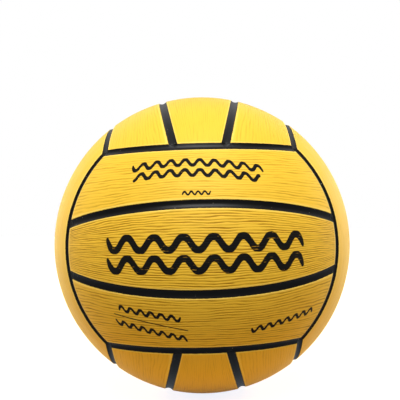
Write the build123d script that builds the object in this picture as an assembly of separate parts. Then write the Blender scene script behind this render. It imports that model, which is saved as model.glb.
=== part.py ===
from build123d import *
import math
import os

# Water polo ball of the smaller competition size. From the inside out it is a bladder, a layer of
# wound yarn and a rubber carcass, all with one hole at the back for the needle valve. Eighteen grip
# panels are cemented to the carcass, and black rubber strips lie in the channels between them.
# The frame has its origin at the ball's centre: -Y is the front, +Y the valve and +Z the top.

# Ball and cover
ball_circumference = 660.0  # round the crowns of the panels
panel_thickness = 1.5
panel_edge_radius = 0.5  # rounding of each panel's outer edge
channel_width = 4.8  # bare width between two neighbouring panels
channel_depth = 0.9  # from the panels' surface down to the strips
divider_tilt = 14.2  # degrees from the middle of a face to each of its two divider seams
cement_gap = 0.15  # room for cement between layers, and beside each strip

# Layers under the cover
carcass_thickness = 0.6
winding_thickness = 0.5
bladder_thickness = 0.5

# Needle valve, on the +Y axis
stem_radius = 5.5  # valve housing where it passes through the wall
stem_clearance = 0.15  # round the stem, in every layer
flange_radius = 15.0  # disc of the housing that is bonded inside the bladder
flange_thickness = 1.2
housing_length = 18.0  # from the outer face to the open inner end
valve_recess = 0.25  # valve faces below the panels' surface
plug_head_radius = 4.0
plug_head_length = 3.0
plug_radius = 3.0
plug_length = 12.0  # head included
plug_clearance = 0.08  # sliding clearance between plug and housing
needle_radius = 1.1  # guide hole for a 2 mm inflating needle
needle_countersink = 0.4

# Lips that close the inner end of the plug
lip_length = 5.0
lip_width = 3.2
lip_bead_radius = 0.45  # rounded root that each lip swings on
lip_bead_height = 1.85  # distance of that root from the valve's axis
lip_bead_clearance = 0.05
lip_tip_thickness = 0.6
lip_gap = 0.1  # between the closed lips, and between a lip and the plug

# Radii of the layers
ball_radius = ball_circumference / (2 * math.pi)
panel_floor = ball_radius - panel_thickness
strip_top = ball_radius - channel_depth
carcass_outer = panel_floor - cement_gap
carcass_inner = carcass_outer - carcass_thickness
winding_outer = carcass_inner - cement_gap
winding_inner = winding_outer - winding_thickness
bladder_outer = winding_inner - cement_gap
bladder_inner = bladder_outer - bladder_thickness
flange_outer = bladder_inner - cement_gap
flange_inner = flange_outer - flange_thickness

# Seams as angles seen from the centre. Three faces meet at each corner of a cube, so the edge of a
# face lies this far from its middle on the two ends of its panels.
face_half_angle = math.degrees(math.acos(1 / math.sqrt(3)))
channel_half_angle = math.degrees(math.asin(channel_width / 2 / ball_radius))
strip_width = channel_width - 2 * cement_gap
strip_half_angle = math.degrees(math.asin(strip_width / 2 / strip_top))
strip_end_angle = math.degrees(cement_gap / strip_top)

# Places along the valve's axis, measured from the ball's centre
valve_face = ball_radius - valve_recess
housing_end = valve_face - housing_length
head_seat = valve_face - plug_head_length
plug_end = valve_face - plug_length
valve_hole_radius = stem_radius + stem_clearance
reach = 2 * ball_radius  # longer than anything that it has to cut

# Each face: the way it looks, the way its panels run, and its two sides across the panels
faces = {
    "front": ((0, -1, 0), (1, 0, 0), "upper", "lower"),
    "back": ((0, 1, 0), (-1, 0, 0), "upper", "lower"),
    "top": ((0, 0, 1), (0, -1, 0), "right", "left"),
    "bottom": ((0, 0, -1), (0, 1, 0), "right", "left"),
    "right": ((1, 0, 0), (0, 0, -1), "back", "front"),
    "left": ((-1, 0, 0), (0, 0, 1), "back", "front"),
}
neighbours = {"upper": "top", "lower": "bottom"}  # the other sides carry a face's own name
valve_panel = "back_middle_panel"


def face_plane(name):
    """A face's own frame: X along its panels, Y across them and Z outwards."""
    outwards, along, _, _ = faces[name]
    return Plane(origin=(0, 0, 0), x_dir=along, z_dir=outwards)


def shell(outer, inner):
    """A hollow sphere round the ball's centre."""
    return Sphere(outer) - Sphere(inner)


def band(outer, inner, low, high, about=Plane.XY):
    """The part of a hollow sphere that lies between two angles, in degrees, from a plane's normal."""
    def point(radius, angle):
        return (radius * math.sin(math.radians(angle)), 0, radius * math.cos(math.radians(angle)))

    middle = (low + high) / 2
    outline = [
        ThreePointArc(point(outer, low), point(outer, middle), point(outer, high)),
        Line(point(outer, high), point(inner, high)),
        ThreePointArc(point(inner, high), point(inner, middle), point(inner, low)),
        Line(point(inner, low), point(outer, low)),
    ]
    return about * revolve(make_face(outline), Axis.Z)


def half_space(normal, offset):
    """A block that fills the side of a plane that its normal points to."""
    direction = Vector(*normal).normalized()
    block = Box(reach, reach, reach, align=(Align.CENTER, Align.CENTER, Align.MIN))
    return Plane(origin=direction * offset, z_dir=direction) * block


def divider_normal(side):
    """The normal of the divider seam on one side of a face's middle, pointing away from the middle."""
    tilt = math.radians(divider_tilt)
    return (0, side * math.cos(tilt), -math.sin(tilt))


def rounded(panel):
    """A panel with its outer edge rounded."""
    near = panel_edge_radius / 10
    crown = [e for e in panel.edges() if abs(e.position_at(0.5).length - ball_radius) < near]
    return fillet(crown, panel_edge_radius)


# Panels and strips, in a face's own frame. A face's long edge turns about the face's Y axis.

long_edge = Plane(origin=(0, 0, 0), x_dir=(0, 0, -1), z_dir=(0, 1, 0))


def face_cap():
    """The whole cover of one face, before it is divided into panels."""
    return band(ball_radius, panel_floor, 0, face_half_angle - channel_half_angle)


def middle_panel():
    """The panel between the two dividers."""
    panel = face_cap()
    for side in (1, -1):
        panel -= half_space(divider_normal(side), -channel_width / 2)
    return rounded(panel)


def outer_panel():
    """The panel from a divider to the face's long edge on its +Y side."""
    panel = face_cap() & half_space(divider_normal(1), channel_width / 2)
    panel -= band(reach, panel_floor / 2, 0, face_half_angle + channel_half_angle, long_edge)
    return rounded(panel)


def divider_strip():
    """The channel strip between the middle panel and the outer panel on the +Y side."""
    strip = band(strip_top, panel_floor, 0, face_half_angle - strip_half_angle - strip_end_angle)
    strip &= half_space(divider_normal(1), -strip_width / 2)
    return strip - half_space(divider_normal(1), strip_width / 2)


def edge_strip():
    """The channel strip on a face's long +Y edge, mitred where three strips meet at each end."""
    angles = (face_half_angle - strip_half_angle, face_half_angle + strip_half_angle)
    strip = band(strip_top, panel_floor, *angles, long_edge)
    for end in (1, -1):
        strip &= half_space((-end, -1, 2), cement_gap / 2)
        strip &= half_space((-2 * end, 1, 1), cement_gap / 2)
    return strip


# Valve, with its axis along Z until it is turned to the back of the ball

def on_axis(radius, low, high):
    """A round bar on the valve's axis."""
    return Pos(0, 0, low) * Cylinder(radius, high - low, align=(Align.CENTER, Align.CENTER, Align.MIN))


def to_back(shape):
    """Turns a shape on the Z axis to the +Y axis."""
    return Rot(X=-90) * shape


def valve_housing():
    """The rubber stem with its bonding flange and the stepped seat for the plug."""
    flange = shell(flange_outer, flange_inner) & on_axis(flange_radius, 0, ball_radius)
    housing = on_axis(stem_radius, housing_end, ball_radius) + flange
    housing -= on_axis(plug_radius + plug_clearance, housing_end, ball_radius)
    housing -= on_axis(plug_head_radius + plug_clearance, head_seat - plug_clearance, ball_radius)
    return housing & Sphere(valve_face)


def valve_plug():
    """The plug with its needle guide and the two grooves that its lips swing in."""
    plug = on_axis(plug_radius, plug_end, ball_radius) + on_axis(plug_head_radius, head_seat, ball_radius)
    plug &= Sphere(valve_face)
    plug -= on_axis(needle_radius, plug_end, ball_radius)
    mouth = Cone(needle_radius, needle_radius + needle_countersink, needle_countersink)
    plug -= Pos(0, 0, valve_face - needle_countersink / 2) * mouth
    for side in (1, -1):
        groove = Cylinder(lip_bead_radius + lip_bead_clearance, 2 * plug_radius, rotation=(0, 90, 0))
        plug -= Pos(0, side * lip_bead_height, plug_end) * groove
    return plug


def valve_lip():
    """The lip on the +Y side of the axis: a bead in the plug's groove and a blade that thins to its tip."""
    root = plug_end - lip_gap
    tip = plug_end - lip_length
    outer = lip_bead_height + lip_bead_radius
    profile = Polyline(
        (0, lip_gap / 2, root),
        (0, outer, root),
        (0, outer, root - lip_bead_radius),
        (0, lip_gap / 2 + lip_tip_thickness, tip),
        (0, lip_gap / 2, tip),
        close=True,
    )
    blade = extrude(make_face(profile), lip_width / 2, dir=(1, 0, 0), both=True)
    bead = Pos(0, lip_bead_height, plug_end) * Cylinder(lip_bead_radius, lip_width, rotation=(0, 90, 0))
    return blade + bead


# Assembly

def cover():
    """All panels and strips, each under its own name."""
    pieces = {}
    panels = {"middle": middle_panel(), "outer": outer_panel()}
    strips = {"divider": divider_strip(), "edge": edge_strip()}
    for face, (_, _, plus_side, minus_side) in faces.items():
        frame = face_plane(face)
        pieces[f"{face}_middle_panel"] = frame * panels["middle"]
        for turn, side in ((0, plus_side), (180, minus_side)):
            place = frame.location * Rot(Z=turn)
            neighbour = neighbours.get(side, side)
            pieces[f"{face}_{side}_panel"] = place * panels["outer"]
            pieces[f"{face}_{side}_divider_strip"] = place * strips["divider"]
            pieces[f"{face}_{neighbour}_seam_strip"] = place * strips["edge"]
    pieces[valve_panel] -= to_back(on_axis(valve_hole_radius, 0, reach))
    return pieces


def inner_layers():
    """The carcass, the winding and the bladder, with the valve's hole through each."""
    radii = {
        "carcass": (carcass_outer, carcass_inner),
        "nylon_winding": (winding_outer, winding_inner),
        "bladder": (bladder_outer, bladder_inner),
    }
    hole = to_back(on_axis(valve_hole_radius, 0, reach))
    return {name: shell(*pair) - hole for name, pair in radii.items()}


def valve():
    """The housing, the plug and its two lips, turned to the back of the ball."""
    lip = valve_lip()
    pieces = {
        "valve_housing": valve_housing(),
        "valve_plug": valve_plug(),
        "lower_valve_lip": lip,
        "upper_valve_lip": Rot(Z=180) * lip,
    }
    return {name: to_back(shape) for name, shape in pieces.items()}


# Each file states the widest tolerance in its solid, a rounded corner's 0.0006 mm, so that the corners
# read back closed.
os.makedirs("parts", exist_ok=True)
for node, solid in {**cover(), **inner_layers(), **valve()}.items():
    export_step(solid, f"parts/{node}.step", precision_mode=PrecisionMode.GREATEST)
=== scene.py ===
import math

import bmesh
import bpy
from mathutils import Matrix, Vector


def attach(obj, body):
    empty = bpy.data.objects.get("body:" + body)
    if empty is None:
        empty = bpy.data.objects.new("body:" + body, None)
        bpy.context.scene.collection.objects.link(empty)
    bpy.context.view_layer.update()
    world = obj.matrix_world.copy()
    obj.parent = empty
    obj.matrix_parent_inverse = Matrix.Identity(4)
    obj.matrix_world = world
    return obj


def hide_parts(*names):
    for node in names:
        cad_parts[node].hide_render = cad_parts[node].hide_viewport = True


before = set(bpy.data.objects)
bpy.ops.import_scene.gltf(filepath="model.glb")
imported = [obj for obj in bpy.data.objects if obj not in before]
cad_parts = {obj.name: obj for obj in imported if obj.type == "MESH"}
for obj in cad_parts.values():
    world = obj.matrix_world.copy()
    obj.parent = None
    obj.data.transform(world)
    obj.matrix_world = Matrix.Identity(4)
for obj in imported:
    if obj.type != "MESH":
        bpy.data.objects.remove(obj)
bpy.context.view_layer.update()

# Bladder: the airtight bag inside the ball, dipped in black butyl rubber.
# The valve is vulcanised to its inside, and the air in it holds the whole ball tight.

MM = 0.001


class Wire:
    """One socket of a node tree. Sums on it add Math nodes, and node() adds any other node."""

    def __init__(self, socket):
        self.socket = socket

    @staticmethod
    def into(tree, kind, settings=None, sockets=None, out=0):
        made = tree.nodes.new(kind)
        for name, value in (settings or {}).items():
            setattr(made, name, value)
        for name, value in (sockets or {}).items():
            for link in value if isinstance(value, list) else [value]:
                if isinstance(link, Wire):
                    tree.links.new(link.socket, made.inputs[name])
                else:
                    made.inputs[name].default_value = link
        return Wire(made.outputs[out]) if made.outputs else None

    def node(self, kind, settings=None, sockets=None, out=0):
        return Wire.into(self.socket.id_data, kind, settings, sockets, out)

    def output(self, name):
        return Wire(self.socket.node.outputs[name])

    def maths(self, operation, *values):
        return self.node("ShaderNodeMath", {"operation": operation}, dict(enumerate(values)))

    def __add__(self, other):
        return self.maths("ADD", self, other)

    def __sub__(self, other):
        return self.maths("SUBTRACT", self, other)

    def __mul__(self, other):
        return self.maths("MULTIPLY", self, other)

    def __truediv__(self, other):
        return self.maths("DIVIDE", self, other)

    def __rsub__(self, other):
        return self.maths("SUBTRACT", other, self)

    def __rtruediv__(self, other):
        return self.maths("DIVIDE", other, self)

    __radd__ = __add__
    __rmul__ = __mul__

    def __abs__(self):
        return self.maths("ABSOLUTE", self)

    def __gt__(self, other):
        return self.maths("GREATER_THAN", self, other)

    def __lt__(self, other):
        return self.maths("LESS_THAN", self, other)

    def least(self, other):
        return self.maths("MINIMUM", self, other)

    def most(self, other):
        return self.maths("MAXIMUM", self, other)

    def cos(self):
        return self.maths("COSINE", self)

    def sin(self):
        return self.maths("SINE", self)

    def acos(self):
        return self.maths("ARCCOSINE", self)

    def asin(self):
        return self.maths("ARCSINE", self)

    def root(self):
        return self.maths("SQRT", self)

    def sign(self):
        return self.maths("SIGN", self)

    def rounded(self):
        return self.maths("ROUND", self)

    def power(self, exponent):
        return self.maths("POWER", self, exponent)

    def eased(self, low, high):
        """0 below low, 1 above high, and a smooth rise between them."""
        sockets = {0: self, 1: low, 2: high}
        return self.node("ShaderNodeMapRange", {"interpolation_type": "SMOOTHSTEP"}, sockets)

    def parts(self):
        """The three parts of a vector."""
        split = self.node("ShaderNodeSeparateXYZ", None, {0: self})
        return [split, split.output("Y"), split.output("Z")]

    def vector(self, x, y, z):
        return self.node("ShaderNodeCombineXYZ", None, {0: x, 1: y, 2: z})

    def noise(self, scale, detail=2.0, roughness=0.5):
        """Smooth noise at this place."""
        sockets = {"Vector": self, "Scale": scale, "Detail": detail, "Roughness": roughness}
        return self.node("ShaderNodeTexNoise", None, sockets)

    def blend(self, low, high):
        """A colour from low to high by this value."""
        sockets = {0: self, 6: low, 7: high}
        return self.node("ShaderNodeMix", {"data_type": "RGBA"}, sockets, 2)

    def bump(self, height, strength=1.0):
        """The normal of a surface with this value as its relief, height metres high."""
        sockets = {"Strength": strength, "Distance": height, "Height": self}
        return self.node("ShaderNodeBump", None, sockets)


def finish(name):
    """A new material, its shader and its Object coordinates."""
    material = bpy.data.materials.new(name)
    material.use_nodes = True
    shader = material.node_tree.nodes["Principled BSDF"]
    place = Wire.into(material.node_tree, "ShaderNodeTexCoord").output("Object")
    return material, shader, place


def feed(shader, **values):
    """Sets or links the sockets of a shader."""
    for name, value in values.items():
        socket = shader.inputs[name.replace("_", " ")]
        if isinstance(value, Wire):
            shader.id_data.links.new(value.socket, socket)
        else:
            socket.default_value = value


def dress(node, material):
    """Gives a CAD node its finish."""
    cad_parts[node].data.materials.clear()
    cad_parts[node].data.materials.append(material)


def dipped_rubber():
    """Black rubber with a chalky bloom and the faint runs of dipping."""
    material, shader, place = finish("dipped_rubber")
    bloom = place.noise(34.0, 4.0)
    x, y, z = place.parts()
    runs = place.vector(x * 9.0, y * 9.0, z * 1.5).noise(14.0, 3.0)
    feed(
        shader,
        Base_Color=bloom.eased(0.35, 0.75).blend((0.012, 0.012, 0.013, 1), (0.05, 0.05, 0.052, 1)),
        Roughness=0.38 + bloom * 0.2,
        Normal=runs.bump(0.15 * MM, 0.5),
    )
    return material


dress("bladder", dipped_rubber())

# Winding: nylon yarn wound round the bladder in great circles and soaked in latex, which keeps the ball
# round. The soaked bed is the CAD layer, and the last turns of yarn lie half sunk in it. The turns that
# would cross the valve are left out.

YARN_RADIUS = 0.14 * MM
YARN_CIRCLE_RADIUS = 102.64 * MM
YARN_TURNS = 72
YARN_SEED = 11
YARN_SIDES = 4
YARN_STEPS = 96
FULL_TURN = 2 * math.pi
VALVE_CLEARANCE_RADIUS = 6.4 * MM


def maker(name, sizes):
    """A new Geometry Nodes tree with these named inputs, and each input as a wire."""
    tree = bpy.data.node_groups.new(name, "GeometryNodeTree")
    tree.interface.new_socket("Mesh", in_out="OUTPUT", socket_type="NodeSocketGeometry")
    kinds = {int: "Int", float: "Float", tuple: "Vector", bpy.types.Material: "Material"}
    for label, value in sizes.items():
        tree.interface.new_socket(label, in_out="INPUT", socket_type="NodeSocket" + kinds[type(value)])
    given = Wire.into(tree, "NodeGroupInput")
    return tree, {label: given.output(label) for label in sizes}


def end_maker(mesh, material):
    """Ends a tree: smooth shading, real geometry and a finish."""
    mesh = mesh.node("GeometryNodeSetShadeSmooth", None, {"Geometry": mesh})
    mesh = mesh.node("GeometryNodeRealizeInstances", None, {"Geometry": mesh})
    mesh = mesh.node("GeometryNodeSetMaterial", None, {"Geometry": mesh, "Material": material})
    mesh.node("NodeGroupOutput", None, {"Mesh": mesh})


def made_by(tree, name, sizes):
    """A plain mesh piece, made by a tree with these sizes."""
    piece = bpy.data.objects.new(name, bpy.data.meshes.new(name))
    bpy.context.scene.collection.objects.link(piece)
    modifier = piece.modifiers.new("maker", "NODES")
    modifier.node_group = tree
    for item in tree.interface.items_tree:
        if item.in_out == "INPUT":
            modifier[item.identifier] = sizes[item.name]
    settle(piece)
    piece.data.materials.clear()  # the tree's grids leave an empty slot before the finish
    piece.data.materials.append(sizes["Finish"])
    return piece


def settle(piece):
    """Turns a piece and its modifiers into one plain mesh."""
    before = piece.data
    graph = bpy.context.evaluated_depsgraph_get()
    piece.data = bpy.data.meshes.new_from_object(piece.evaluated_get(graph))
    piece.modifiers.clear()
    bpy.data.meshes.remove(before)
    piece.data.name = piece.name


def soaked_yarn(name, pale, dark):
    """Off-white nylon in latex: twisted fibres, and amber where the latex lies thick."""
    material, shader, place = finish(name)
    latex = place.noise(60.0, 4.0)
    fibre = place.noise(1900.0, 2.0)
    feed(
        shader,
        Base_Color=latex.eased(0.3, 0.7).blend(pale, dark),
        Roughness=0.42 + fibre * 0.25,
        Normal=fibre.bump(0.08 * MM, 0.6),
    )
    return material


yarn_sizes = {
    "Turns": YARN_TURNS,
    "Circle radius": YARN_CIRCLE_RADIUS,
    "Yarn radius": YARN_RADIUS,
    "Valve clearance": VALVE_CLEARANCE_RADIUS,
    "Seed": YARN_SEED,
    "Finish": soaked_yarn("nylon_yarn", (0.78, 0.74, 0.64, 1), (0.6, 0.5, 0.33, 1)),
}
yarn_maker, yarn = maker("wound_yarn", yarn_sizes)
centres = Wire.into(yarn_maker, "GeometryNodePoints", None, {"Count": yarn["Turns"], "Position": (0, 0, 0)})
circle_sockets = {"Resolution": YARN_STEPS, "Radius": yarn["Circle radius"]}
circle = Wire.into(yarn_maker, "GeometryNodeCurvePrimitiveCircle", None, circle_sockets)
turn = circle.node(
    "FunctionNodeRandomValue",
    {"data_type": "FLOAT_VECTOR"},
    {"Min": (0, 0, 0), "Max": (FULL_TURN, FULL_TURN, FULL_TURN), "Seed": yarn["Seed"]},
)
axis_sockets = {"Vector": (0, 0, 1), "Rotation": turn}
_, lean, _ = circle.node("FunctionNodeRotateVector", None, axis_sockets).parts()
misses_valve = abs(lean) > yarn["Valve clearance"] / yarn["Circle radius"]
turns_sockets = {"Points": centres, "Selection": misses_valve, "Instance": circle, "Rotation": turn}
turns = circle.node("GeometryNodeInstanceOnPoints", None, turns_sockets)
turns = turns.node("GeometryNodeRealizeInstances", None, {"Geometry": turns})
section_sockets = {"Resolution": YARN_SIDES, "Radius": yarn["Yarn radius"]}
section = turns.node("GeometryNodeCurvePrimitiveCircle", None, section_sockets)
yarn_mesh = turns.node("GeometryNodeCurveToMesh", None, {"Curve": turns, "Profile Curve": section})
end_maker(yarn_mesh, yarn["Finish"])
yarn_turns = made_by(yarn_maker, "nylon_yarn_turns", yarn_sizes)
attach(yarn_turns, "ball")
dress("nylon_winding", soaked_yarn("latex_bed", (0.7, 0.62, 0.45, 1), (0.5, 0.4, 0.24, 1)))

# Carcass: a thin sheet of natural rubber, moulded over the winding. It is the ground that the panels and
# the strips are cemented to, so it is dull and scuffed for the cement to hold.


def buffed_rubber():
    """Dull grey-black rubber with the fine scratches of a buffing wheel."""
    material, shader, place = finish("buffed_rubber")
    x, y, z = place.parts()
    scratches = place.vector(x * 0.15, y * 0.15, z).noise(2200.0, 2.0)
    patches = place.noise(40.0, 3.0)
    feed(
        shader,
        Base_Color=patches.blend((0.03, 0.03, 0.03, 1), (0.075, 0.072, 0.068, 1)),
        Roughness=0.7 + scratches * 0.2,
        Normal=scratches.bump(0.06 * MM, 0.5),
    )
    return material


dress("carcass", buffed_rubber())

# Valve: a moulded black rubber housing with a flange, vulcanised to the bladder behind the back middle
# panel. A softer rubber plug with the needle hole sits in it, and two lips at its inner end close behind
# the needle.


def valve_rubber(name, colour, dust):
    """Smooth moulded rubber with a dull powdery skin."""
    material, shader, place = finish(name)
    powder = place.noise(900.0, 4.0, 0.6)
    skin = place.noise(3200.0, 2.0)
    feed(
        shader,
        Base_Color=powder.eased(0.45, 0.8).blend(colour, dust),
        Roughness=0.42 + powder * 0.22,
        Normal=skin.bump(0.05 * MM, 0.35),
    )
    return material


dress("valve_housing", valve_rubber("housing_rubber", (0.014, 0.014, 0.015, 1), (0.06, 0.058, 0.055, 1)))
dress("valve_plug", valve_rubber("plug_rubber", (0.028, 0.028, 0.03, 1), (0.1, 0.098, 0.094, 1)))
lip_finish = valve_rubber("lip_rubber", (0.02, 0.02, 0.021, 1), (0.08, 0.078, 0.075, 1))
dress("upper_valve_lip", lip_finish)
dress("lower_valve_lip", lip_finish)

# Grip panels: eighteen pieces of moulded yellow rubber, three to each of the ball's six faces, cemented
# to the carcass. Their outer edges are rounded, and fine wavy ridges run along them for grip. The front
# three carry plain printed waves, and the back middle panel has a smooth disc with the valve's hole.

BALL_RADIUS = 105.042 * MM
PANEL_THICKNESS = 1.5 * MM
CHANNEL_WIDTH = 4.8 * MM
DIVIDER_TILT = math.radians(14.2)
FACE_HALF_ANGLE = math.acos(1 / math.sqrt(3))
VALVE_HOLE_RADIUS = 5.65 * MM
SMOOTH_DISC_RADIUS = 9.5 * MM
RING_INSET = 0.9 * MM
RING_HALF_WIDTH = 0.85 * MM
RING_DEPTH = 0.3 * MM
RIDGE_WANDER = (0.03, 0.1)  # waves per millimetre, along and across a panel
RIDGE_RIPPLE = (0.1, 0.5)
RIDGE_FADING = (0.05, 0.9)
WANDER_PITCHES = 2.2  # how far a ridge strays, in ridge pitches
RIPPLE_PITCHES = 0.9
RIDGE_SHARPNESS = 1.8
RIDGE_STRENGTHS = {"middle": 1.2, "upper": 0.65, "lower": 0.9}  # on the front and back faces
SEED_STEP = 17.3
RIM = 1.0005  # grid coordinates beyond this belong to a piece's side walls
ROUNDING_STEPS = 4
PLAN_TRIALS = 7
HALVED_TRIALS = 4
FACES = {
    "front": ((0, -1, 0), (1, 0, 0), "upper", "lower"),
    "back": ((0, 1, 0), (-1, 0, 0), "upper", "lower"),
    "top": ((0, 0, 1), (0, -1, 0), "right", "left"),
    "bottom": ((0, 0, -1), (0, 1, 0), "right", "left"),
    "right": ((1, 0, 0), (0, 0, -1), "back", "front"),
    "left": ((-1, 0, 0), (0, 0, 1), "back", "front"),
}


def face_axes(face, turn=1):
    """A face's own axes, turned half round its middle if turn is -1."""
    outwards = Vector(FACES[face][0])
    along = Vector(FACES[face][1]) * turn
    return {"Along": tuple(along), "Across": tuple(outwards.cross(along)), "Outwards": tuple(outwards)}


def grid(along, across, rim):
    """A flat grid from -1 to 1 each way, with one step more on every side if it has a rim."""
    sockets = {
        "Size X": 2 * (1 + rim / along),
        "Size Y": 2 * (1 + rim / across),
        "Vertices X": 2 * (along + rim) + 1,
        "Vertices Y": 2 * (across + rim) + 1,
    }
    return along.node("GeometryNodeMeshGrid", None, sockets)


def inset(at, steps, half, rounding, rounding_steps):
    """Distance from the border of a grid, with its first few steps crowded into the rounded edge."""
    step = ((1 - abs(at)) * steps).most(0)
    turn = (step.least(rounding_steps) * (math.pi / 2 / rounding_steps)).cos()
    beyond = (step - rounding_steps).most(0) / (steps - rounding_steps)
    return (1 - turn) * rounding + beyond * (half - rounding)


def edge_drop(rounding, from_end, from_side):
    """How far a rounded edge falls away at this distance from it."""
    end_share = (1 - from_end / rounding).most(0)
    side_share = (1 - from_side / rounding).most(0)
    share = (end_share * end_share + side_share * side_share).least(1)
    return rounding * (1 - (1 - share).root())


def stored(mesh, name, value, data_type="FLOAT", domain="POINT"):
    """Keeps a value on the points of a mesh, under a name."""
    settings = {"data_type": data_type, "domain": domain}
    sockets = {"Geometry": mesh, "Name": name, "Value": value}
    return mesh.node("GeometryNodeStoreNamedAttribute", settings, sockets)


def mapped(mesh, low, high):
    """Gives a grid its own band of the piece's flat map."""
    u, v, _ = mesh.output("UV Map").parts()
    flat = u.vector(0.01 + u * 0.98, low + v * (high - low), 0.0)
    return stored(mesh, "OFBake", flat, "FLOAT2", "CORNER")


def placed(mesh, size, parts, reach):
    """Sets a grid's points in these directions from the ball's centre, given in a face's own axes."""
    point = None
    for axis, part in zip(("Along", "Across", "Outwards"), parts):
        sockets = {0: size[axis], "Scale": part * reach}
        step = part.node("ShaderNodeVectorMath", {"operation": "SCALE"}, sockets)
        point = part.node("ShaderNodeVectorMath", None, {0: point, 1: step}) if point else step
    return mesh.node("GeometryNodeSetPosition", None, {"Geometry": mesh, "Position": point})


def closed(skin, under):
    """Joins an outer skin with the underside that it meets."""
    under = under.node("GeometryNodeFlipFaces", None, {"Mesh": under})
    both = skin.node("GeometryNodeJoinGeometry", None, {"Geometry": [skin, under]})
    return both.node("GeometryNodeMergeByDistance", None, {"Geometry": both, "Distance": 0.002 * MM})


def panel_maker(name, sizes, outer):
    """The tree for a face's middle panel, or for the outer panel on its +Across side."""
    tree, size = maker(name, sizes)
    radius, width, tilt = size["Ball radius"], size["Channel width"], size["Divider tilt"]
    rounding = size["Edge radius"]
    floor = radius - size["Thickness"]
    half_channel = (width / 2 / radius).asin()
    end_cosine = (FACE_HALF_ANGLE - half_channel).cos()
    edge_cosine = (FACE_HALF_ANGLE + half_channel).cos()

    def limits(along):
        """The panel's two long edges, as turns across the face, at a turn along it."""
        gap = (width / 2 / radius / along.cos()).asin()
        if outer:
            return tilt + gap, (edge_cosine / along.cos()).asin()
        return gap - tilt, tilt - gap

    def angles(s, t):
        """The turns along and across the face at a point of the panel's plan, from -1 to 1 each way.

        Each turn depends on the other, so they are settled by trials, and the first ones move half way.
        """
        along = s * 0.8
        for trial in range(PLAN_TRIALS):
            low, high = limits(along)
            across = low + (high - low) * (t + 1) / 2
            better = s * (end_cosine / across.cos()).least(1).acos()
            along = (along + better) / 2 if trial < HALVED_TRIALS else better
        return along, across

    def direction(along, across):
        return along.sin(), along.cos() * across.sin(), along.cos() * across.cos()

    # Outer skin and side walls
    x, y, _ = radius.node("GeometryNodeInputPosition").parts()
    along_steps, across_steps, floor_steps = (size[n + " steps"] for n in ("Along", "Across", "Floor"))
    half_length = radius * end_cosine.acos()
    low, high = limits(radius * 0)
    half_width = radius * (high - low) / 2
    from_end = inset(x, along_steps, half_length, rounding, ROUNDING_STEPS)
    from_side = inset(y, across_steps, half_width, rounding, ROUNDING_STEPS)
    s = x.sign() * (1 - from_end / half_length)
    t = y.sign() * (1 - from_side / half_width)
    past_end = abs(x) > RIM
    wall = abs(x).most(abs(y)) > RIM
    along, across = angles(s, t + past_end * ((t * floor_steps).rounded() / floor_steps - t))

    # Ridges: narrow grooves that wander along the panel, fork and fade
    run, rise = along * radius / MM, t * half_width / MM
    seed = size["Seed"]

    def uneven(waves, shift, detail):
        """Noise with this many waves per millimetre along and across the panel."""
        return run.vector(run * waves[0], rise * waves[1], seed + shift).noise(1.0, detail)

    wander = uneven(RIDGE_WANDER, 0.0, 2.0) - 0.5
    ripple = uneven(RIDGE_RIPPLE, 31.7, 2.0) - 0.5
    fading = uneven(RIDGE_FADING, 63.1, 3.0)
    phase = rise * MM / size["Ridge pitch"] + wander * WANDER_PITCHES + ripple * RIPPLE_PITCHES
    groove = (0.5 - (phase * FULL_TURN).cos() * 0.5).power(RIDGE_SHARPNESS)
    groove = groove * (0.3 + fading.eased(0.34, 0.7) * 0.7) * size["Ridge strength"]
    border = from_end.least(from_side)
    from_valve = radius * (along.cos() * across.cos()).least(1).acos()
    disc = size["Smooth disc"]
    groove = groove * border.eased(rounding * 0.8, size["Smooth border"])
    groove = groove * from_valve.eased(disc - 1.6 * MM, disc)
    ring = (1 - abs(from_valve - disc + RING_INSET) / RING_HALF_WIDTH).eased(0.0, 1.0) * (disc > MM)
    depth = groove * size["Ridge depth"] + ring * RING_DEPTH + edge_drop(rounding, from_end, from_side)
    skin = mapped(grid(along_steps, across_steps, 1), 0.12, 0.99)
    skin = stored(skin, "groove", groove.most(ring))
    skin = stored(skin, "inset", (1 - wall) * border / MM)
    top = radius - depth
    skin = placed(skin, size, direction(along, across), top + wall * (floor - top))

    # Underside, on a coarser grid that meets the foot of the walls
    under = mapped(grid(along_steps, floor_steps, 0), 0.01, 0.1)
    under = placed(under, size, direction(*angles(s, y)), floor)
    end_maker(closed(skin, under), size["Finish"])
    return tree


# Printed waves in millimetres: middle, level, half length, slope, arch, height, wave length, thickness
PRINT_WAVES = (
    (2.5, 3.4, 60.0, 0.0, 0.0, 3.6, 17.2, 4.2),
    (2.5, -8.6, 60.0, 0.0, 0.0, 3.6, 17.2, 4.2),
    (-2.5, 52.5, 44.0, -0.03, 0.0019, 1.9, 9.8, 2.4),
    (-2.5, 45.6, 41.0, -0.03, 0.0019, 1.9, 9.8, 2.4),
    (-2.5, 32.6, 8.2, 0.0, 0.0, 0.9, 4.1, 1.2),
    (-35.0, -38.2, 20.0, -0.16, 0.0, 1.4, 6.7, 1.9),
    (-35.5, -44.0, 25.0, -0.2, 0.0, 0.0, 6.7, 0.7),
    (-36.0, -49.8, 24.0, -0.22, 0.0, 1.4, 6.7, 1.9),
    (56.0, -46.0, 23.5, 0.2, 0.0, 1.4, 6.7, 1.9),
)


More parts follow.
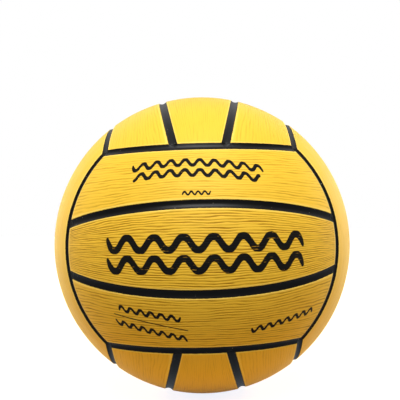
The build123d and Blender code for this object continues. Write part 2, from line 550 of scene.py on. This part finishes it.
def wave_print(place, groove):
    """Where the print's black ink lies: long plain waves, worn off the grooves of the rubber."""
    x, y, z = place.parts()
    swing = x.maths("ARCTAN2", x, y * -1) * (BALL_RADIUS / MM)
    lift = (z / BALL_RADIUS).asin() * (BALL_RADIUS / MM)
    brush = place.noise(420.0, 3.0) - 0.5
    ink = None
    for middle, level, half, slope, arch, height, length, thickness in PRINT_WAVES:
        along = swing - middle
        turn = along * (FULL_TURN / length)
        steep = turn.cos() * (FULL_TURN * height / length)
        off = lift - level - along * slope + along * along * arch - turn.sin() * height
        off = abs(off) / (1 + steep * steep).root()
        past = (abs(along) - half).most(0)
        line = thickness / 2 - (off * off + past * past).root() + brush * 0.5
        ink = line if ink is None else ink.most(line)
    worn = place.noise(150.0, 4.0, 0.65)
    kept = (worn - groove.least(1) * 0.3).eased(0.06, 0.22)
    return ink.eased(-0.12, 0.16) * kept * (y < -0.03)


def grip_rubber(name, printed):
    """Yellow rubber: pale ridges, grooves darkened with painted shade, faint blotches, a painted highlight
    along the panel edges, and black at the foot of its edges.
    """
    material, shader, place = finish(name)
    groove = place.node("ShaderNodeAttribute", {"attribute_name": "groove"}, None, 2)
    edge = place.node("ShaderNodeAttribute", {"attribute_name": "inset"}, None, 2)
    blotch = place.noise(24.0, 3.0)
    grain = place.noise(2300.0, 2.0, 0.6)
    pale = blotch.blend((0.86, 0.54, 0.038, 1), (0.92, 0.59, 0.054, 1))
    # Painted highlight: the border within about 1.7 mm of each panel edge is made lighter, standing in for
    # a bright rim of light along the edges.
    painted_edge_highlight = (1 - edge.eased(0.7, 1.7)).blend(pale, (0.96, 0.67, 0.11, 1))
    # Painted shade: the grooves get a darker ochre colour, so they read darker than their relief alone
    # makes them.
    colour = groove.eased(0.0, 0.9).blend(painted_edge_highlight, (0.45, 0.235, 0.01, 1))
    black = 1 - (edge + (place.noise(700.0, 3.0) - 0.5) * 0.3).eased(0.12, 0.32)
    if printed:
        black = black.most(wave_print(place, groove))
    feed(
        shader,
        Base_Color=black.blend(colour, (0.0015, 0.0015, 0.0015, 1)),
        Roughness=0.44 + grain * 0.14 + groove * 0.12 + black * 0.2,
        Specular_IOR_Level=0.15,
        Sheen_Weight=0.45,
        Sheen_Roughness=0.35,
        Sheen_Tint=(1.0, 0.92, 0.6, 1),
        Normal=grain.bump(0.12 * MM, 0.25),
    )
    return material


panel_sizes = {
    "Ball radius": BALL_RADIUS,
    "Thickness": PANEL_THICKNESS,
    "Edge radius": 0.6 * MM,
    "Channel width": CHANNEL_WIDTH,
    "Divider tilt": DIVIDER_TILT,
    "Ridge pitch": 1.6 * MM,
    "Ridge depth": 0.2 * MM,
    "Ridge strength": 0.4,
    "Smooth border": 1.7 * MM,
    "Smooth disc": 0.0,
    "Seed": 0.0,
    "Along steps": 80,
    "Across steps": 115,
    "Floor steps": 4,
    **face_axes("front"),
    "Finish": grip_rubber("grip_rubber", False),
}
printed_finish = grip_rubber("printed_grip_rubber", True)
middle_maker = panel_maker("middle_panel", panel_sizes, False)
outer_maker = panel_maker("outer_panel", panel_sizes, True)
for number, (face, (_, _, one_side, other_side)) in enumerate(FACES.items()):
    plan = (("middle", middle_maker, 1), (one_side, outer_maker, 1), (other_side, outer_maker, -1))
    for row, (side, panel_tree, turn) in enumerate(plan):
        node = f"{face}_{side}_panel"
        sizes = {**panel_sizes, **face_axes(face, turn), "Seed": SEED_STEP * (3 * number + row)}
        if face in ("front", "back"):
            sizes["Ridge strength"] = RIDGE_STRENGTHS[side]
        if face == "front":
            sizes["Finish"] = printed_finish
        if node == "back_middle_panel":
            sizes["Smooth disc"] = SMOOTH_DISC_RADIUS
            sizes["Along steps"] = 170
        panel = made_by(panel_tree, "grip_" + node, sizes)
        if node == "back_middle_panel":
            punch = bpy.data.objects.new("punch", bpy.data.meshes.new("punch"))
            bpy.context.scene.collection.objects.link(punch)
            shape = bmesh.new()
            turned = Matrix.Translation((0, BALL_RADIUS, 0)) @ Matrix.Rotation(math.pi / 2, 4, "X")
            bmesh.ops.create_cone(
                shape, cap_ends=True, segments=96, depth=20 * MM,
                radius1=VALVE_HOLE_RADIUS, radius2=VALVE_HOLE_RADIUS, matrix=turned,
            )
            shape.to_mesh(punch.data)
            shape.free()
            cut = panel.modifiers.new("hole", "BOOLEAN")
            cut.object = punch
            cut.solver = "EXACT"
            settle(panel)
            bpy.data.objects.remove(punch)
        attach(panel, "ball")
        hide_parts(node)

# Strips: black rubber laid in the channels between the panels, twelve along the seams where two faces
# meet and twelve that divide a face into three. Each is pressed hollow, and they run into one another.

LUMP_SCALE = 40.0
LUMP_HEIGHT = 0.1 * MM
STRIP_ROUNDING_STEPS = 2


def strip_maker(name, sizes, seam):
    """The tree for the seam strip, or the divider strip, on a face's +Across side."""
    tree, size = maker(name, sizes)
    radius, width, tilt = size["Ball radius"], size["Channel width"], size["Divider tilt"]
    rounding = size["Edge radius"]
    half_width = width / 2 - size["Fit"]
    end_cosine = (FACE_HALF_ANGLE - (width / 2 / radius).asin()).cos()

    def direction(run, offset):
        """A point of the strip's plan: its share of the way along, and its offset from the middle line."""
        if seam:
            polar = FACE_HALF_ANGLE + offset / radius
            mitre = abs(offset) * (math.tan(math.pi / 6) / math.sin(FACE_HALF_ANGLE)) / radius
            turn = run * (math.pi / 4 - mitre)
            return polar.sin() * turn.sin(), polar.cos(), polar.sin() * turn.cos()
        up = (offset / radius).asin()
        turn = run * ((end_cosine + up.sin() * tilt.sin()) / (up.cos() * tilt.cos())).acos()
        flat = up.cos() * turn.cos()
        return (
            up.cos() * turn.sin(),
            flat * tilt.sin() + up.sin() * tilt.cos(),
            flat * tilt.cos() - up.sin() * tilt.sin(),
        )

    x, y, _ = radius.node("GeometryNodeInputPosition").parts()
    along_steps, across_steps, floor_steps = (size[n + " steps"] for n in ("Along", "Across", "Floor"))
    from_side = inset(y, across_steps, half_width, rounding, STRIP_ROUNDING_STEPS)
    offset = y.sign() * (half_width - from_side)
    run = x.least(1).most(-1)
    wall = abs(x).most(abs(y)) > RIM
    past_end = abs(x) > RIM
    snapped = (offset / half_width * floor_steps).rounded() / floor_steps * half_width
    offset = offset + past_end * (snapped - offset)
    parts = direction(run, offset)
    off_line = abs(offset)
    if seam:
        off_divider = abs(abs(parts[0]) * tilt.cos() - parts[1] * tilt.sin()) * radius
        off_line = off_line.least(off_divider + (offset > 0) * width)
    share = off_line / (width / 2)
    hollow = size["Edge depth"] + (size["Middle depth"] - size["Edge depth"]) * (1 - share * share)
    lumps = radius.vector(*(part * LUMP_SCALE for part in parts)).noise(1.0, 2.0) - 0.5
    soft = edge_drop(rounding, rounding, from_side) * (off_line > half_width - rounding)
    depth = hollow + soft + lumps * LUMP_HEIGHT
    floor = size["Thickness"]
    skin = mapped(grid(along_steps, across_steps, 1), 0.2, 0.99)
    skin = placed(skin, size, parts, radius - depth - wall * (floor - depth))
    under = mapped(grid(along_steps, floor_steps, 0), 0.01, 0.15)
    under = placed(under, size, direction(x, y * half_width), radius - floor)
    end_maker(closed(skin, under), size["Finish"])
    return tree


def strip_rubber():
    """Satin black rubber with a fine drawn grain, and a few specks of dust and lint."""
    material, shader, place = finish("strip_rubber")
    grain = place.noise(1500.0, 3.0, 0.6)
    bloom = place.noise(55.0, 3.0)
    specks = place.noise(620.0, 1.0).eased(0.77, 0.8)
    base = bloom.blend((0.0015, 0.0015, 0.0015, 1), (0.003, 0.003, 0.003, 1))
    feed(
        shader,
        Base_Color=specks.blend(base, (0.3, 0.28, 0.22, 1)),
        Roughness=0.24 + grain * 0.16 + bloom * 0.1,
        Specular_IOR_Level=0.19,
        Normal=grain.bump(0.1 * MM, 0.3),
    )
    return material


strip_sizes = {
    "Ball radius": BALL_RADIUS,
    "Thickness": PANEL_THICKNESS,
    "Channel width": CHANNEL_WIDTH,
    "Fit": 0.02 * MM,
    "Edge radius": 0.15 * MM,
    "Divider tilt": DIVIDER_TILT,
    "Middle depth": 1.1 * MM,
    "Edge depth": 0.28 * MM,
    "Along steps": 80,
    "Across steps": 8,
    "Floor steps": 2,
    **face_axes("front"),
    "Finish": strip_rubber(),
}
seam_maker = strip_maker("seam_strip", strip_sizes, True)
divider_maker = strip_maker("divider_strip", strip_sizes, False)
NEIGHBOURS = {"upper": "top", "lower": "bottom"}
for face, (_, _, one_side, other_side) in FACES.items():
    for side, turn in ((one_side, 1), (other_side, -1)):
        for strip_tree, node in (
            (seam_maker, f"{face}_{NEIGHBOURS.get(side, side)}_seam_strip"),
            (divider_maker, f"{face}_{side}_divider_strip"),
        ):
            strip = made_by(strip_tree, "hollow_" + node, {**strip_sizes, **face_axes(face, turn)})
            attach(strip, "ball")
            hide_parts(node)

# Studio: a floor that looks white and sends warm light up to the ball's underside, a white surround, a
# soft lamp above and one at each side behind. The camera stands where the photograph was taken, level
# with the ball's middle, and looks a little over it.

scene = bpy.context.scene
scene.view_settings.view_transform = "Standard"

FLOOR_SIZE = 6.0
FLOOR_IN_FRONT = (0.04, 0.02, 0.005, 1)
FLOOR_BELOW = (0.64, 0.44, 0.12, 1)
FLOOR_REFLECTED = (0.34, 0.38, 0.43, 1)
FLOOR_GLOW = (0.95, 1.0, 1.1, 1)
NEAR_GLOW = 0.85  # share of the glow near the ball, where its shadow falls
WARM_LIGHT = (1.0, 0.76, 0.46, 1)
WHITE = (1, 1, 1, 1)
floor_mesh = bpy.data.meshes.new("floor")
floor_plan = ((-1, -1), (1, -1), (1, 1), (-1, 1))
corners = [(x * FLOOR_SIZE, y * FLOOR_SIZE, -BALL_RADIUS) for x, y in floor_plan]
floor_mesh.from_pydata(corners, [], [(0, 1, 2, 3)])
floor = bpy.data.objects.new("floor", floor_mesh)
scene.collection.objects.link(floor)
floor_finish, floor_shader, floor_place = finish("floor")
x, y, _ = floor_place.parts()
bright = y.eased(-0.16, -0.09)
tone = bright.blend(FLOOR_IN_FRONT, FLOOR_BELOW)
feed(floor_shader, Base_Color=tone, Roughness=0.9)
away = (x * x + y * y).root().eased(0.2, 0.9)
light_path = floor_place.node("ShaderNodeLightPath")
mirrored = light_path.output("Is Glossy Ray").most(light_path.output("Is Transmission Ray"))
seen = light_path * (NEAR_GLOW + away.most(1 - bright) * (1 - NEAR_GLOW))
glow = seen.node("ShaderNodeEmission", None, {"Color": FLOOR_GLOW, "Strength": 1.0})
glow = seen.node("ShaderNodeMixShader", None, {0: seen, 2: glow})
lit = seen.node("ShaderNodeAddShader", None, {0: Wire(floor_shader.outputs[0]), 1: glow})
dull = seen.node("ShaderNodeEmission", None, {"Color": FLOOR_REFLECTED, "Strength": 1.0})
lit = seen.node("ShaderNodeMixShader", None, {0: mirrored, 1: lit, 2: dull})
floor_output = floor_finish.node_tree.nodes["Material Output"]
floor_finish.node_tree.links.new(lit.socket, floor_output.inputs["Surface"])
floor_mesh.materials.append(floor_finish)

world = bpy.data.worlds.new("surround")
scene.world = world
world.use_nodes = True
path = Wire.into(world.node_tree, "ShaderNodeLightPath")
_, backwards, upwards = Wire.into(world.node_tree, "ShaderNodeTexCoord").parts()
behind = backwards.eased(-0.5, 0.5)
above = upwards.eased(0.1, 0.7)
mirrored = path.output("Is Glossy Ray").most(path.output("Is Transmission Ray"))
clear = path.most(mirrored * (0.05 + behind * 0.1 + above * (0.25 + behind * 0.6)))
background = world.node_tree.nodes["Background"]
warm = mirrored.most(path).blend(WARM_LIGHT, WHITE)
world.node_tree.links.new(warm.socket, background.inputs["Color"])
world.node_tree.links.new(clear.most(0.235 + behind * 0.18).socket, background.inputs["Strength"])


def softbox(name, place, size, power, reflected=True):
    """A square lamp that faces the ball, with or without its own reflection."""
    lamp = bpy.data.lights.new(name, "AREA")
    lamp.size = size
    lamp.energy = power
    box = bpy.data.objects.new(name, lamp)
    box.location = place
    box.rotation_euler = (-Vector(place)).to_track_quat("-Z", "Y").to_euler()
    box.visible_glossy = reflected
    scene.collection.objects.link(box)


softbox("overhead", (0.0, -0.74, 0.9), 0.8, 17.2)
softbox("left_rim", (-0.85, 0.55, 0.1), 0.7, 10.0, False)
softbox("right_rim", (0.85, 0.55, 0.1), 0.7, 10.0, False)

PHOTO_SIZE = 400
PHOTO_BALL_CENTRE = (202.0, 242.9)
CAMERA_DISTANCE = 4.339 * BALL_RADIUS
CAMERA_PITCH, CAMERA_ROLL, CAMERA_YAW = math.radians(1.96), math.radians(-1.36), math.radians(-0.08)
FOCAL_PIXELS = 622.0
SENSOR_WIDTH = 36.0
camera_data = bpy.data.cameras.new("camera")
camera_data.sensor_width = SENSOR_WIDTH
camera_data.lens = SENSOR_WIDTH * FOCAL_PIXELS / PHOTO_SIZE
camera = bpy.data.objects.new("camera", camera_data)
scene.collection.objects.link(camera)
ball_to_view = (
    Matrix.Rotation(CAMERA_ROLL, 3, "Y")
    @ Matrix.Rotation(CAMERA_PITCH, 3, "X")
    @ Matrix.Rotation(CAMERA_YAW, 3, "Z")
)
view_to_ball = ball_to_view.transposed()
raised = math.atan((PHOTO_BALL_CENTRE[1] - PHOTO_SIZE / 2) / FOCAL_PIXELS)
swung = math.atan((PHOTO_BALL_CENTRE[0] - PHOTO_SIZE / 2) / FOCAL_PIXELS)
aim = Matrix.Rotation(swung, 3, "Z") @ Matrix.Rotation(raised + math.pi / 2, 3, "X")
stand = view_to_ball @ Vector((0, -CAMERA_DISTANCE, 0))
camera.matrix_world = Matrix.Translation(stand) @ (view_to_ball @ aim).to_4x4()
scene.camera = camera
